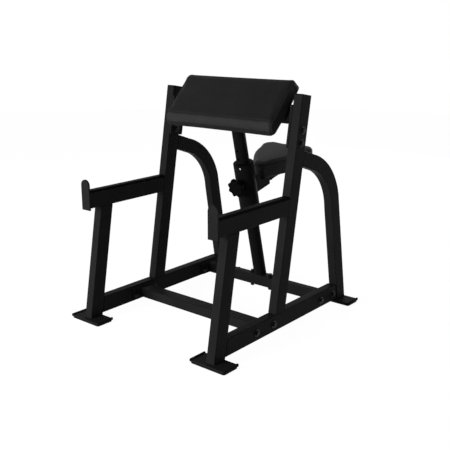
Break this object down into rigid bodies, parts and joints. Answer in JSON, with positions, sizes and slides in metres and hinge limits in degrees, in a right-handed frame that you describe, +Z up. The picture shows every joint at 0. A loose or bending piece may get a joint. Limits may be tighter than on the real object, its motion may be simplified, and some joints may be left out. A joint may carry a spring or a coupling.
{
  "type": "biceps machine",
  "caption": "Seated preacher-curl bench with two tube side frames, bar rests, a sloping arm pad and a seat that slides on a leaning centre post.",
  "frame": {"origin": "on the floor, at the middle of the machine's bounding box seen from above, seat included", "axes": "+Z up; the user sits at +Y and faces -Y, where the bar rests stand; +X is at the user's left hand"},
  "size_m": [0.939, 1.124, 1.1077],
  "materials": {
    "powder_coat": "satin black powder coat",
    "vinyl": "matt black grained vinyl",
    "rubber": "matt black",
    "plastic": "fine-textured black moulding",
    "plywood": "raw plywood",
    "dark_zinc": "black zinc plated",
    "bright_steel": "bright zinc plated"
  },
  "bodies": {
    "frame": {"front_crossmember": "powder_coat", "rear_crossmember": "powder_coat", "upper_crossmember": "powder_coat", "centre_post": "powder_coat", "post_foot_flange": "powder_coat", "arm_pad": "vinyl", "arm_pad_board": "plywood", "left_front_leg": "powder_coat", "left_rail": "powder_coat", "left_upright": "powder_coat", "left_bar_arm": "powder_coat", "left_wear_strip": "plastic", "left_hook_plate": "powder_coat", "left_rear_arch": "powder_coat", "left_front_foot_plate": "powder_coat", "left_front_rubber_foot": "rubber", "left_rear_foot_plate": "powder_coat", "left_rear_rubber_foot": "rubber", "left_upright_cap": "plastic", "left_front_bolt_1": "dark_zinc", "left_front_bolt_2": "dark_zinc", "left_rear_bolt_1": "dark_zinc", "left_rear_bolt_2": "dark_zinc", "left_upper_bolt_1": "dark_zinc", "left_upper_bolt_2": "dark_zinc", "left_post_bolt": "dark_zinc", "right_front_leg": "powder_coat", "right_rail": "powder_coat", "right_upright": "powder_coat", "right_bar_arm": "powder_coat", "right_wear_strip": "plastic", "right_hook_plate": "powder_coat", "right_rear_arch": "powder_coat", "right_front_foot_plate": "powder_coat", "right_front_rubber_foot": "rubber", "right_rear_foot_plate": "powder_coat", "right_rear_rubber_foot": "rubber", "right_upright_cap": "plastic", "right_front_bolt_1": "dark_zinc", "right_front_bolt_2": "dark_zinc", "right_rear_bolt_1": "dark_zinc", "right_rear_bolt_2": "dark_zinc", "right_upper_bolt_1": "dark_zinc", "right_upper_bolt_2": "dark_zinc", "right_post_bolt": "dark_zinc"},
    "seat_carriage": {"seat_sleeve": "powder_coat", "upper_liner": "plastic", "lower_liner": "plastic", "pin_housing": "bright_steel", "pin_spring": "bright_steel", "seat_arm": "powder_coat", "seat_arm_cap": "plastic", "left_seat_gusset": "powder_coat", "right_seat_gusset": "powder_coat", "seat_plate": "powder_coat", "seat_board": "plywood", "seat_pad": "vinyl"},
    "pull_knob": {"pull_pin": "bright_steel", "star_knob": "plastic"}
  },
  "joints": [
    {"name": "seat_height", "type": "slide", "parent": "frame", "child": "seat_carriage", "axis": [0, -0.2408, 0.9706], "range_m": [-0.172, 0.172]},
    {"name": "knob_pull", "type": "slide", "parent": "seat_carriage", "child": "pull_knob", "axis": [0, -0.9706, -0.2408], "range_m": [0, 0.011], "stiffness_N_per_m": 1200, "springref_m": -0.01, "deforming": ["pin_spring"]}
  ]
}
